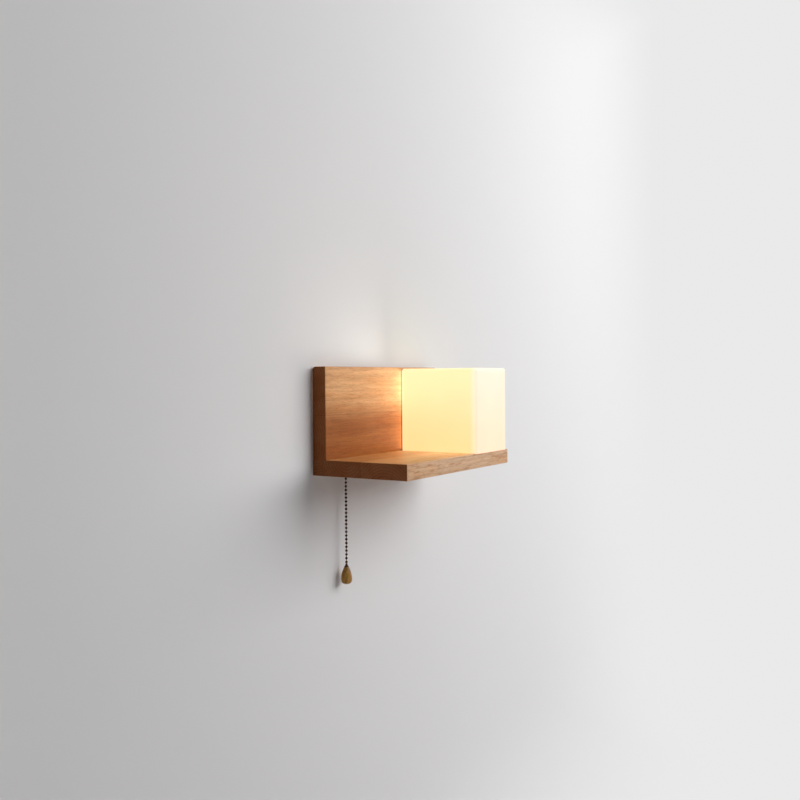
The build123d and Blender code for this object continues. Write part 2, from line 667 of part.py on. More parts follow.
def switch_contacts():
    """Two blades beside the plunger, one from the case floor and one from its ceiling, a wire to each."""
    x = CHAIN_X + CONTACT_FROM_AXIS
    y = (CHAIN_Y - CONTACT_W / 2, CHAIN_Y + CONTACT_W / 2)
    middle = sum(switch_wire_heights()) / 2
    lower = block((x, x + CONTACT_T), y, (CASE_FLOOR, middle - CONTACT_GAP / 2))
    upper = block((x, x + CONTACT_T), y, (middle + CONTACT_GAP / 2, CASE_CEILING))
    return group([lower, upper])


def switch_nipple():
    """Brass tube from the switch through the shelf, belled at its mouth."""
    tube = upright(CHAIN_X, CHAIN_Y, (NIPPLE_END, REBATE_Z), NIPPLE_R)
    tube += upright(CHAIN_X, CHAIN_Y, (REBATE_Z, SPRING_FOOT), NIPPLE_NECK_R)
    tube += upright(CHAIN_X, CHAIN_Y, (CASE_FLOOR, SPRING_FOOT), NIPPLE_FLANGE_R)
    tube -= upright(CHAIN_X, CHAIN_Y, (NIPPLE_END - OVER, SPRING_FOOT + OVER), NIPPLE_BORE_R)
    mouth = tube.edges().filter_by(GeomType.CIRCLE).group_by(Axis.Z)[0]
    return fillet(mouth, NIPPLE_MOUTH_R)


def nipple_nut():
    """Knurled ring nut against the shelf's underside."""
    nut = upright(CHAIN_X, CHAIN_Y, (UNDER - NUT_H, UNDER), NUT_R)
    nut = chamfer(nut.edges().filter_by(GeomType.CIRCLE).group_by(Axis.Z)[0], NUT_CHAMFER)
    knurl = Pos(NUT_R + KNURL_OUT, 0, 0) * Cylinder(KNURL_R, NUT_H + OVER)
    for i in range(NUT_KNURLS):
        nut -= Pos(CHAIN_X, CHAIN_Y, UNDER - NUT_H / 2) * Rot(0, 0, i * 360.0 / NUT_KNURLS) * knurl
    return nut - upright(CHAIN_X, CHAIN_Y, (UNDER - NUT_H - OVER, UNDER + OVER), NIPPLE_R + NIPPLE_FIT)


# Chain and knob
def bead(z):
    return Pos(CHAIN_X, CHAIN_Y, z) * Sphere(BEAD_R)


def chain_top():
    """Beads in the nipple, hung from the plunger and ending just above the swivel bead."""
    count = int((PLUNGER_Z - SWIVEL_Z - BEAD_R) / BEAD_PITCH)
    chain = upright(CHAIN_X, CHAIN_Y, (SWIVEL_Z + BEAD_R + SWIVEL_GAP, PLUNGER_Z), CHAIN_WIRE_R)
    for i in range(1, count + 1):
        chain += bead(SWIVEL_Z + i * BEAD_PITCH)
    return chain


def chain_swivel():
    """Single bead at the nipple's mouth, where the hanging chain bends."""
    return bead(SWIVEL_Z)


def chain_drop():
    """Hanging ball chain with the tail wire that holds the bell cap and the knob."""
    tail = KNOB_Z - KNOB_HOLE_DEPTH
    chain = upright(CHAIN_X, CHAIN_Y, (tail, SWIVEL_Z - BEAD_R - SWIVEL_GAP), CHAIN_WIRE_R)
    for i in range(1, DROP_BEADS + 1):
        chain += bead(SWIVEL_Z - i * BEAD_PITCH)
    return chain


def chain_bell():
    """Small cone on top of the knob."""
    hole = CHAIN_WIRE_R + WOOD_FIT
    rim = BELL_RIM - BELL_H
    waist = (BELL_TOP_R + BELL_R) / 2 - BELL_HOLLOW
    outline = ThreePointArc((BELL_TOP_R, 0), (waist, rim / 2), (BELL_R, rim))
    outline += Polyline((BELL_R, rim), (BELL_R, -BELL_H), (hole, -BELL_H), (hole, 0), (BELL_TOP_R, 0))
    return turned(CHAIN_X, CHAIN_Y, BELL_Z, outline)


def pull_knob():
    """Turned drop, widest low down, bored from the top for the tail wire."""
    hole = CHAIN_WIRE_R + WOOD_FIT
    deep = -KNOB_HOLE_DEPTH - WOOD_FIT
    outline = Spline(
        (KNOB_TOP_R, 0), (KNOB_SHOULDER_R, -KNOB_SHOULDER * KNOB_H), (KNOB_R, -KNOB_WIDEST * KNOB_H),
        (KNOB_HEEL_R, -KNOB_HEEL * KNOB_H), (KNOB_FOOT_R, -KNOB_H))
    outline += Polyline(
        (KNOB_FOOT_R, -KNOB_H), (0, -KNOB_H), (0, deep), (hole, deep), (hole, 0), (KNOB_TOP_R, 0))
    return turned(CHAIN_X, CHAIN_Y, KNOB_Z, outline)


# Shade and the light unit under it
def glass_shade():
    """Five-sided opal box, open below."""
    box = block((SHADE_LEFT, SHADE_RIGHT), (SHADE_FRONT, SHADE_REAR), (SEAT_Z, SHADE_TOP))
    box = fillet(box.edges().filter_by(Axis.Z), SHADE_EDGE_R)
    box = fillet(box.edges().group_by(Axis.Z)[-1], SHADE_TOP_R)
    wall = SHADE_WALL
    inner = block((SHADE_LEFT + wall, SHADE_RIGHT - wall), (SHADE_FRONT + wall, SHADE_REAR - wall),
                  (SEAT_Z - OVER, SHADE_TOP - wall))
    inner = fillet(inner.edges().filter_by(Axis.Z), max(SHADE_INNER_R, SHADE_EDGE_R - wall))
    inner = fillet(inner.edges().group_by(Axis.Z)[-1], SHADE_INNER_R)
    return box - inner


def shade_tray():
    """Folded steel pan in the seat, flanged all round, open in the middle for the wires."""
    x = (LAMP_X - TRAY_X, LAMP_X + TRAY_X)
    y = (LAMP_Y - TRAY_Y, LAMP_Y + TRAY_Y)
    pan = block(x, y, (SEAT_Z, TRAY_TOP + TRAY_FLANGE))
    pan = fillet(pan.edges().filter_by(Axis.Z), TRAY_CORNER)
    inside_z = (TRAY_TOP, TRAY_TOP + TRAY_FLANGE + OVER)
    inside = block((x[0] + TRAY_T, x[1] - TRAY_T), (y[0] + TRAY_T, y[1] - TRAY_T), inside_z)
    pan -= fillet(inside.edges().filter_by(Axis.Z), TRAY_CORNER - TRAY_T)
    pan -= upright(LAMP_X, LAMP_Y, (SEAT_Z - OVER, TRAY_TOP + OVER), TRAY_HOLE_R)
    for place in tray_screw_places():
        pan -= pilot(place, TRAY_SCREW_R, TRAY_SCREW_LENGTH)
    for place in holder_screw_places():
        pan -= pilot(place, HOLDER_SCREW_R, HOLDER_SCREW_LENGTH)
    return pan - pilot(earth_screw_place(), EARTH_SCREW_R, EARTH_SCREW_LENGTH)


def tray_screws():
    one = pan_screw(TRAY_SCREW_R, TRAY_SCREW_HEAD_R, TRAY_SCREW_HEAD_T, TRAY_SCREW_LENGTH, TRAY_SCREW_RECESS)
    return group([place * one for place in tray_screw_places()])


def shade_springs():
    """Bowed leaves on the tray's side flanges, just clear of the glass."""
    bow = TRAY_GAP - SPRING_LEAF_GAP
    low = TRAY_TOP + SPRING_LEAF_RISE
    high = TRAY_TOP + TRAY_FLANGE - SPRING_LEAF_BELOW
    middle = (low + high) / 2
    thin = SPRING_LEAF_T
    edge = ThreePointArc((0, low), (bow, middle), (0, high))
    edge += Line((0, high), (0, high - 2 * thin))
    edge += ThreePointArc((0, high - 2 * thin), (bow - thin, middle), (0, low + 2 * thin))
    edge += Line((0, low + 2 * thin), (0, low))
    leaf = extrude(Plane.XZ * make_face(edge), SPRING_LEAF_W / 2, both=True)
    leaves = []
    for i in (-1, 1):
        y = LAMP_Y + i * SPRING_LEAF_SPREAD / 2
        leaves.append(Pos(LAMP_X + TRAY_X, y, 0) * leaf)
        leaves.append(Pos(LAMP_X - TRAY_X, y, 0) * Rot(0, 0, 180) * leaf)
    return group(leaves)


def lampholder_body():
    """Porcelain barrel on a screwed flange, hollow below for the wires."""
    top = HOLDER_H
    lip = HOLDER_R + HOLDER_LIP
    rivet = HOLDER_RIVET_R + WOOD_FIT
    web = HOLDER_FLOOR - HOLDER_WEB
    outline = lines([
        (HOLDER_CAVITY_R, 0), (HOLDER_FLANGE_R, 0), (HOLDER_FLANGE_R, HOLDER_FLANGE_T),
        (HOLDER_R, HOLDER_FLANGE_T), (HOLDER_R, top - 2 * HOLDER_LIP), (lip, top - 1.5 * HOLDER_LIP),
        (lip, top), (HOLDER_BORE_R, top), (HOLDER_BORE_R, HOLDER_FLOOR),
        (rivet, HOLDER_FLOOR), (rivet, web), (HOLDER_CAVITY_R, web),
    ])
    body = turned(LAMP_X, LAMP_Y, TRAY_TOP, outline)
    foot = body.edges().group_by(Axis.Z)[0]
    outer = (body.edges().filter_by(GeomType.CIRCLE) - foot).filter_by(lambda edge: edge.radius >= HOLDER_R)
    body = fillet(outer, HOLDER_ROUND)
    for place in holder_screw_places():
        body -= pilot(place, HOLDER_SCREW_R, HOLDER_SCREW_LENGTH)
    half = WIRE_R + WIRE_HOLE_ROOM
    slot_y = (LAMP_Y, LAMP_Y + HOLDER_FLANGE_R + OVER)
    slot_z = (TRAY_TOP - OVER, TRAY_TOP + EARTH_RISE + half)
    return body - block((LAMP_X - half, LAMP_X + half), slot_y, slot_z)


def lampholder_shell():
    """Brass screw shell standing on the porcelain's floor."""
    outer = HOLDER_BORE_R - SHELL_FIT
    inner = outer - SHELL_T
    lip = outer - SHELL_LIP
    outline = lines([
        (lip, 0), (outer, 0), (outer, SHELL_H), (inner, SHELL_H), (inner, SHELL_T), (lip, SHELL_T),
    ])
    return turned(LAMP_X, LAMP_Y, TRAY_TOP + HOLDER_FLOOR, outline)


def lampholder_contact():
    """Riveted disc with a sprung tongue that meets the bulb's tip."""
    z = TRAY_TOP + HOLDER_FLOOR
    contact = upright(LAMP_X, LAMP_Y, (z, z + CONTACT_DISC_T), CONTACT_DISC_R)
    contact += upright(LAMP_X, LAMP_Y, (z - HOLDER_WEB, z + CONTACT_DISC_T), HOLDER_RIVET_R)
    low = CONTACT_DISC_T
    foot = CONTACT_DISC_R - CONTACT_TONGUE_INSET
    toe = foot - CONTACT_TONGUE_FOOT
    outline = ThreePointArc((-foot, low), (0, CONTACT_RISE), (foot, low))
    outline += Line((foot, low), (toe, low))
    outline += ThreePointArc((toe, low), (0, CONTACT_RISE - CONTACT_TONGUE_T), (-toe, low))
    outline += Line((-toe, low), (-foot, low))
    tongue = extrude(Plane.XZ * make_face(outline), CONTACT_TONGUE_W / 2, both=True)
    return contact + Pos(LAMP_X, LAMP_Y, z) * tongue


def lampholder_screws():
    one = pan_screw(
        HOLDER_SCREW_R, HOLDER_SCREW_HEAD_R, HOLDER_SCREW_HEAD_T, HOLDER_SCREW_LENGTH, HOLDER_SCREW_RECESS)
    return group([place * one for place in holder_screw_places()])


def bulb_tip():
    return turned(LAMP_X, LAMP_Y, TIP_Z, lines([
        (0, 0), (0.5 * TIP_R, 0), (0.85 * TIP_R, 0.25 * TIP_H), (TIP_R, 0.7 * TIP_H), (TIP_R, TIP_H),
        (0, TIP_H)]))


def bulb_insulator():
    return turned(LAMP_X, LAMP_Y, TIP_Z + TIP_H, lines([
        (0, 0), (TIP_R + INSULATOR_STEP, 0), (INSULATOR_R, INSULATOR_H), (0, INSULATOR_H)]))


def bulb_cap():
    """Metal cup of the screw cap."""
    inner = CAP_R - CAP_T
    return turned(LAMP_X, LAMP_Y, CAP_Z, lines([
        (0, 0), (INSULATOR_R, 0), (CAP_R, CAP_CONE), (CAP_R, CAP_H), (inner, CAP_H),
        (inner, CAP_CONE + CAP_T), (INSULATOR_R - CAP_T, CAP_T), (0, CAP_T)]))


def bulb_housing():
    """White housing: a plug in the cap and a cone up to the globe."""
    plug = CAP_R - CAP_T - WOOD_FIT
    waist = (0.55 * COLLAR_R + 0.45 * HOUSING_R, 0.52 * HOUSING_H)
    outline = ThreePointArc((COLLAR_R, COLLAR_H), waist, (HOUSING_R, HOUSING_H))
    outline += Polyline(
        (HOUSING_R, HOUSING_H), (0, HOUSING_H), (0, -PLUG_H), (plug, -PLUG_H), (plug, 0), (COLLAR_R, 0),
        (COLLAR_R, COLLAR_H))
    return turned(LAMP_X, LAMP_Y, COLLAR_Z, outline)


def bulb_globe():
    """Opal dome, hollow, standing on the housing."""
    belly = GLOBE_H - BULB_R
    wall = GLOBE_WALL
    small = BULB_R - wall
    side = ((HOUSING_R + BULB_R) / 2 + GLOBE_BULGE, 0.45 * belly)
    outline = ThreePointArc((HOUSING_R, 0), side, (BULB_R, belly))
    outline += quarter(BULB_R, belly)
    outline += Line((0, GLOBE_H), (0, GLOBE_H - wall))
    outline += quarter(small, belly)
    outline += Polyline((small, belly), (HOUSING_R - wall, 0), (HOUSING_R, 0))
    return turned(LAMP_X, LAMP_Y, GLOBE_Z, outline)


def quarter(radius, height):
    """Quarter circle from the side up to the axis."""
    middle = (radius * cos(pi / 4), height + radius * sin(pi / 4))
    return ThreePointArc((radius, height), middle, (0, height + radius))


# Wires
def wire(points, bends):
    """Round wire along straight runs joined by arcs."""
    path = FilletPolyline(*points, radius=bends)
    section = Plane(origin=path @ 0, z_dir=path % 0) * Circle(WIRE_R)
    return sweep(section, path)


def to_lamp(channel_z, side, high):
    """Points from the right-hand channel down the groove, through the shelf and up under the lampholder.

    `side` and `high` place the wire in the shelf's bore; a higher wire turns up earlier, so none cross.
    """
    x = LAMP_X + side
    y = -WIRE_FROM_WALL - high
    z = BORE_Z + high
    turn = LAMP_Y + high
    return [(x, y, channel_z), (x, y, z), (x, turn, z)]


def holder_wire(side):
    """Last point of a wire in the hollow under the lampholder."""
    top = TRAY_TOP + HOLDER_FLOOR - HOLDER_WEB - WIRE_R
    return [(LAMP_X + side, LAMP_Y - WIRE_SPREAD, top)]


def from_pole(index, channel_z, y, along):
    """Points from a pole's lower bore into the rear channel, moving sideways by `along`."""
    x = pole_x()[index]
    top = TERMINAL_Z - TERMINAL_SCREW_SPREAD / 2
    return [(x, TERMINAL_Y, top), (x, TERMINAL_Y, channel_z), (x + along, y, channel_z)]


def wire_live():
    """From the first pole to the switch's lower blade."""
    y = switch_wire_y()
    z = switch_wire_heights()[1]
    end = CHAIN_X + CONTACT_FROM_AXIS + CONTACT_T + WIRE_END_GAP
    return wire(from_pole(0, z, y, -POLE_RUN) + [(end, y, z)], [TIGHT_BEND, WIRE_BEND])


def wire_switched():
    """From the switch's upper blade to the lampholder's centre contact."""
    y = switch_wire_y()
    z = switch_wire_heights()[0]
    start = CHAIN_X + CONTACT_FROM_AXIS + CONTACT_T + WIRE_END_GAP
    points = [(start, y, z)] + to_lamp(z, WIRE_SPREAD, -WIRE_SPREAD) + holder_wire(WIRE_SPREAD)
    return wire(points, [WIRE_BEND, WIRE_BEND, WIRE_BEND])


def wire_neutral():
    """From the second pole to the lampholder's shell."""
    y = switch_wire_y()
    z = switch_wire_heights()[1]
    points = from_pole(1, z, y, POLE_RUN) + to_lamp(z, -WIRE_SPREAD, -WIRE_SPREAD) + holder_wire(-WIRE_SPREAD)
    return wire(points, [TIGHT_BEND, WIRE_BEND, WIRE_BEND, WIRE_BEND, WIRE_BEND])


def wire_earth():
    """From the third pole to the earth screw on the tray."""
    high = WIRE_SPREAD
    y = -WIRE_FROM_WALL - high
    z = CHANNEL_Z
    rise = TRAY_TOP + EARTH_RISE
    end = LAMP_Y + EARTH_SCREW_FROM_LAMP - TAG_R - WIRE_END_GAP
    points = from_pole(2, z, y, POLE_RUN) + to_lamp(z, 0.0, high)
    points += [(LAMP_X, LAMP_Y + high, rise), (LAMP_X, end, rise)]
    return wire(points, [TIGHT_BEND, WIRE_BEND, WIRE_BEND, WIRE_BEND, WIRE_BEND, TIGHT_BEND])


def earth_tag():
    """Ring crimped to the earth wire's end."""
    x = LAMP_X
    y = LAMP_Y + EARTH_SCREW_FROM_LAMP
    ring = upright(x, y, (TRAY_TOP, TRAY_TOP + TAG_T), TAG_R)
    return ring - upright(x, y, (TRAY_TOP - OVER, TRAY_TOP + TAG_T + OVER), EARTH_SCREW_R + WOOD_FIT)


def earth_screw():
    return earth_screw_place() * pan_screw(
        EARTH_SCREW_R, EARTH_SCREW_HEAD_R, EARTH_SCREW_HEAD_T, EARTH_SCREW_LENGTH, EARTH_SCREW_RECESS)


OUTPUTS = [
    shelf_board, back_board, joint_dowels, joint_screws,
    wall_plate, wall_plate_screws, cable_grommet,
    terminal_block, terminal_screws, terminal_fixings,
    switch_case, switch_cover, switch_plunger, ratchet_drum, switch_spring, switch_contacts,
    switch_nipple, nipple_nut,
    chain_top, chain_swivel, chain_drop, chain_bell, pull_knob,
    glass_shade, shade_tray, tray_screws, shade_springs,
    lampholder_body, lampholder_shell, lampholder_contact, lampholder_screws,
    bulb_tip, bulb_insulator, bulb_cap, bulb_housing, bulb_globe,
    wire_live, wire_switched, wire_neutral, wire_earth, earth_tag, earth_screw,
]

os.makedirs("parts", exist_ok=True)
for make in OUTPUTS:
    export_step(make(), "parts/" + make.__name__ + ".step")
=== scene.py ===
"""Looks of the wall lamp: a finish for every solid, the wall and floor, the light and the camera. Metres."""
import math

import bpy
from mathutils import Matrix, Vector


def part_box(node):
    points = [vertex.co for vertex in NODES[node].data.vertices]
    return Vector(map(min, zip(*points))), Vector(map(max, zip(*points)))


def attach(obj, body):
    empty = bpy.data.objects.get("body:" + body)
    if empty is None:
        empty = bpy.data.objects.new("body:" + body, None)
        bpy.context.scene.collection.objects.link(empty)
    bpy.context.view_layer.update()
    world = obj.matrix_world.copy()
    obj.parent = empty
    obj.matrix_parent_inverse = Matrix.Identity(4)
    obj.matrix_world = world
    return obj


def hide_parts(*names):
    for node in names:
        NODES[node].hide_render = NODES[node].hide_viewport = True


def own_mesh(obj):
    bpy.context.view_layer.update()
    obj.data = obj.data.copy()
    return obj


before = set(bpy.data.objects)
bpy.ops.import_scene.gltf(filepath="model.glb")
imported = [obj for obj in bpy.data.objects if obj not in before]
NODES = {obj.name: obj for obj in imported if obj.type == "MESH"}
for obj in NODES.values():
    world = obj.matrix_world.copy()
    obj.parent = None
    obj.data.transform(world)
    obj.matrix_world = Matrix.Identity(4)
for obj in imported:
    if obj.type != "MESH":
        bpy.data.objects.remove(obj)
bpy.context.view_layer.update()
X = Vector((1.0, 0.0, 0.0))
Y = Vector((0.0, 1.0, 0.0))

# Camera, from the corners of the boards in the picture
PICTURE = 800                                   # pixels each way
FOCAL_PIXELS = 909.7
CAMERA_PLACE = Vector((-1.1439, -0.7659, 0.0379))
CAMERA_YAW = math.radians(57.88)                # from +Y towards +X
CAMERA_PITCH = math.radians(-1.36)
CAMERA_ROLL = math.radians(-0.39)
SENSOR = 36.0                                   # millimetres

# Boards: seams between the strips, first heart line and its step to the next strip in Y and Z, and tints
SHELF_WOOD = {
    "across": "Y",
    "seams": (-0.079, -0.016),
    "heart": (-0.118, -0.118),
    "heart_step": (0.062, 0.048),
    # Middle strip's tint: partly the strip's own tone, partly painted shade over the shelf's top
    "tints": ((0.97, 0.88, 0.72), (0.78, 0.64, 0.46), (1.0, 0.98, 0.95)),
    "end_tint": (0.53, 0.36, 0.28),
    # Painted sheen: front and rear edges paler and greyer, as where the varnish mirrors the room's light
    "painted_sheen_edge_tint": (1.18, 1.41, 1.95),
}
BACK_WOOD = {
    "across": "Z",
    "seams": (-0.012,),
    "heart": (0.045, -0.050),
    "heart_step": (-0.012, 0.078),
    "tints": ((0.97, 0.93, 0.87), (1.02, 1.01, 1.0)),
    "end_tint": (0.54, 0.35, 0.24),
    # Lower half darker and more orange: partly a deeper tone of the wood, partly painted shadow
    "tone_and_shadow_fade": (0.019, -0.030, (0.52, 0.31, 0.12)),
}
STRIP_SHIFT = 1.37                              # along the tree, from one strip to the next
RING = 0.0040                                   # growth ring width
SWAY = 0.010                                    # how far the rings wander along a board
SEAM_EDGES = (0.00040, 0.0001)                  # where a glue line begins and is darkest, from its middle

# Colours and tints of the wood
EARLY_WOOD = (0.63, 0.338, 0.150)
LATE_WOOD = (0.45, 0.207, 0.077)
BLOTCH_TINT = (0.88, 0.74, 0.56)
DASH_TINT = (0.58, 0.47, 0.38)
FIGURE_TINT = (0.76, 0.62, 0.52)
GLUE_TINT = (0.30, 0.17, 0.09)

# How fine the marks are along X, Y and Z, per metre
RING_SWAYS = (2.5, 7.0, 7.0)
FIBRES = (45.0, 1300.0, 1300.0)
STREAKS = (11.0, 380.0, 380.0)
BLOTCHES = (10.0, 55.0, 55.0)
DASHES = (62.0, 640.0, 640.0)
PORES = (120.0, 2300.0, 2300.0)
FIGURES = (34.0, 210.0, 210.0)
END_DOTS = (700.0, 1500.0, 1500.0)
TURNED_FIBRES = (700.0, 700.0, 45.0)
TURNED_PORES = (1540.0, 1540.0, 99.0)
TURNED_CLOUDS = (160.0, 160.0, 30.0)
SCRATCHES = (60.0, 1800.0, 1800.0)

# Where late wood comes in and ends within a ring, in shares of its width
LATE_START = (0.20, 0.94)
LATE_STOP = (1.0, 0.95)

# How squarely a surface looks along X to be a board's end, or along Y to be its edge
END_FACING = (0.55, 0.90)
EDGE_FACING = (0.40, 0.90)

# How strongly each mark shows in the wood
LATE_SHARE = 0.26
END_LATE_SHARE = 0.34
END_STRIP_SHARE = 0.35                          # of a strip's tint, on the ends
BLOTCH_SHARE = 0.75
DASH_SHARE = 0.38
PORE_SHARE = 0.40
FIGURE_SHARES = (0.30, 0.95)                    # on the faces and on the edges
GLUE_SHARE = 0.45

# Parts of a noise's values over which a mark or a tone comes in
SPREAD = (0.3, 0.7)
WIDE_SPREAD = (0.2, 0.8)
BOARD_SPREAD = (0.25, 0.75)
BLOTCH_SPREAD = (0.38, 0.68)
DASH_SPREAD = (0.57, 0.70)
PORE_SPREAD = (0.60, 0.70)
FIGURE_SPREAD = (0.50, 0.68)
DOT_SPREAD = (0.45, 0.66)
TARNISH_SPREAD = (0.40, 0.72)
DUST_SPREAD = (0.45, 0.75)
SPECK_SPREAD = (0.70, 0.76)

# Glow of the lit shade and of the bulb's dome, at the foot and at the top
# The shade's side, edge and front glows differ by which way a face turns: painted light, yellower on the
# sides than at the front
SIDE_GLOW = ((1.0, 0.71, 0.305), (1.0, 0.85, 0.43))
EDGE_GLOW = ((1.0, 0.75, 0.40), (1.0, 0.83, 0.54))
FRONT_GLOW = ((1.0, 0.590, 0.355), (1.0, 0.640, 0.455))
BULB_GLOW = ((1.2, 0.95, 0.60), (1.6, 1.4, 1.0))

# Wall and floor
WALL_PAINT = (0.78, 0.772, 0.776)
WALL_GAP = 0.0004                               # between the wall and the lamp
STAGE_REACH = 6.0
FLOOR_Z = -1.2
COVE = 0.6                                      # radius between wall and floor
COVE_STEPS = 24
WINDOW_INSET = 0.001                            # from the boards' ends and underside
WINDOW_TOP_INSET = 0.006
WINDOW_ROW, WINDOW_COLUMN = 1, 1                # among the sheet's faces, from 0 at its top left
FADE_ASIDE = (0.55, 1.5)                        # where the wall fades into an even backdrop, to each side
FADE_UPRIGHT = (0.6, 1.1)                       # and above and below
BACKDROP = 0.82                                 # its brightness, and the room's where it is seen

# Light of the room
ROOM_STRENGTH = 0.09
KEY_LAMP = {"place": (2.2, -2.1, 1.1), "target": (2.2, 0.0, 0.2), "size": (4.2, 1.8), "watts": 98.0}
REAR_LAMP = {"place": (0.7, 2.0, 1.0), "target": (0.0, -0.05, -0.05), "size": (1.4, 1.4), "watts": 45.0}

# Light of the lit shade and its bulb
WARM = (1.0, 0.98, 0.91)
GLOW_HEIGHT = 0.12
SIDE_WIDTH, SIDE_WATTS = 0.123, 0.215
SIDE_GAP = 0.001                                # outside the glass
REAR_EDGE_WIDTH, REAR_EDGE_WATTS = 0.006, 0.012
REAR_EDGE_IN = 0.002                            # from the corner that the rounded edge leaves free
REAR_WIDTH, REAR_WATTS = 0.10, 0.035
REAR_GAP = 0.0003                               # between the glass and the back board
BULB_LIGHT = (1.0, 0.86, 0.64)
BULB_WATTS = 0.30
BULB_SOFTNESS = 0.02


class Finish:
    """A node material while it is being built; inputs take numbers, colours or other nodes' outputs."""

    def __init__(self, name):
        self.material = bpy.data.materials.new(name)
        self.material.use_nodes = True
        self.tree = self.material.node_tree
        self.shader = self.tree.nodes["Principled BSDF"]
        self.output = self.tree.nodes["Material Output"]
        coordinates = self.tree.nodes.new("ShaderNodeTexCoord").outputs
        self.place = coordinates["Object"]
        self.normal = coordinates["Normal"]

    def feed(self, socket, value):
        """A link for an output, a default for a number, a vector or a colour."""
        if isinstance(value, bpy.types.NodeSocket):
            self.tree.links.new(value, socket)
        elif socket.type == "RGBA":
            socket.default_value = (*value, 1.0)
        else:
            socket.default_value = value

    def node(self, kind, inputs, **settings):
        made = self.tree.nodes.new(kind)
        for key, value in settings.items():
            setattr(made, key, value)
        for key, value in inputs.items():
            self.feed(made.inputs[key], value)
        return made

    def set(self, **sockets):
        """Principled inputs by name, with spaces written as underscores."""
        for key, value in sockets.items():
            self.feed(self.shader.inputs[key.replace("_", " ")], value)

    def calc(self, operation, a, b=0.0):
        return self.node("ShaderNodeMath", {0: a, 1: b}, operation=operation).outputs[0]

    def axes(self, vector):
        return self.node("ShaderNodeSeparateXYZ", {0: vector}).outputs

    def vector(self, x, y, z):
        return self.node("ShaderNodeCombineXYZ", {0: x, 1: y, 2: z}).outputs[0]

    def stretched(self, scale, place):
        """Coordinates times a scale, one for all axes or one for each: a large one makes fine detail."""
        if isinstance(scale, float):
            scale = (scale, scale, scale)
        return self.node("ShaderNodeVectorMath", {0: place, 1: scale}, operation="MULTIPLY").outputs[0]

    def noise(self, scale, detail=3.0, rough=0.55, place=None):
        place = self.stretched(scale, place or self.place)
        inputs = {"Vector": place, "Scale": 1.0, "Detail": detail, "Roughness": rough}
        return self.node("ShaderNodeTexNoise", inputs).outputs["Fac"]

    def flakes(self, scale):
        """A number for each of many small cells."""
        inputs = {"Vector": self.stretched(scale, self.place), "Scale": 1.0}
        return self.axes(self.node("ShaderNodeTexVoronoi", inputs).outputs["Color"])["X"]

    def step(self, value, low, high, start=0.0, end=1.0):
        """Smooth ramp of a value between two limits, given in either order."""
        inputs = {"Value": value, "From Min": low, "From Max": high, "To Min": start, "To Max": end}
        return self.node("ShaderNodeMapRange", inputs, interpolation_type="SMOOTHSTEP").outputs["Result"]

    def ramp(self, value, colours):
        """Colours at even distances from 0 to 1."""
        made = self.node("ShaderNodeValToRGB", {0: value})
        band = made.color_ramp.elements
        while len(band) < len(colours):
            band.new(0.5)
        for number, colour in enumerate(colours):
            band[number].position = number / (len(colours) - 1)
            band[number].color = (*colour, 1.0)
        return made.outputs["Color"]

    def mix(self, share, a, b, blend="MIX"):
        """Two colours; a mix node keeps its colours in inputs 6 and 7 and in output 2."""
        inputs = {0: share, 6: a, 7: b}
        return self.node("ShaderNodeMix", inputs, data_type="RGBA", blend_type=blend).outputs[2]

    def tinted(self, colour, tint, share=1.0):
        """A colour times a tint, or a share of the way there."""
        return self.mix(share, colour, tint, "MULTIPLY")

    def uneven(self, colour, noise, start, end, spread=SPREAD):
        """A colour whose brightness goes from start to end over a noise's spread."""
        level = self.step(noise, *spread, start, end)
        grey = self.node("ShaderNodeCombineColor", {0: level, 1: level, 2: level}).outputs[0]
        return self.tinted(colour, grey)

    def bump(self, height, depth, strength):
        inputs = {"Height": height, "Distance": depth, "Strength": strength}
        self.feed(self.shader.inputs["Normal"], self.node("ShaderNodeBump", inputs).outputs[0])


def add(name, data):
    """A new object in the scene."""
    made = bpy.data.objects.new(name, data)
    bpy.context.scene.collection.objects.link(made)
    return made


# Wood
def strip_number(look, position, seams):
    """0, 1, 2 from the lowest position up."""
    number = 0.0
    for seam in seams:
        number = look.calc("ADD", look.calc("GREATER_THAN", position, seam), number)
    return number


def growth_rings(look, strip, heart, heart_step, tree):
    """0 in the early wood of each growth ring and 1 in its late wood, round each strip's heart line."""
    offsets = []
    for axis, first, step in zip("YZ", heart, heart_step):
        offset = look.calc("SUBTRACT", look.axes(look.place)[axis], look.calc("MULTIPLY", strip, step))
        offsets.append(look.calc("SUBTRACT", offset, first))
    from_heart = look.node("ShaderNodeVectorMath", {0: look.vector(0.0, *offsets)}, operation="LENGTH")
    sway = look.calc("MULTIPLY", look.noise(RING_SWAYS, detail=2.0, place=tree), SWAY)
    reach = look.calc("ADD", from_heart.outputs["Value"], sway)
    ring = look.calc("FRACT", look.calc("DIVIDE", reach, RING))
    return look.calc("MULTIPLY", look.step(ring, *LATE_START), look.step(ring, *LATE_STOP))


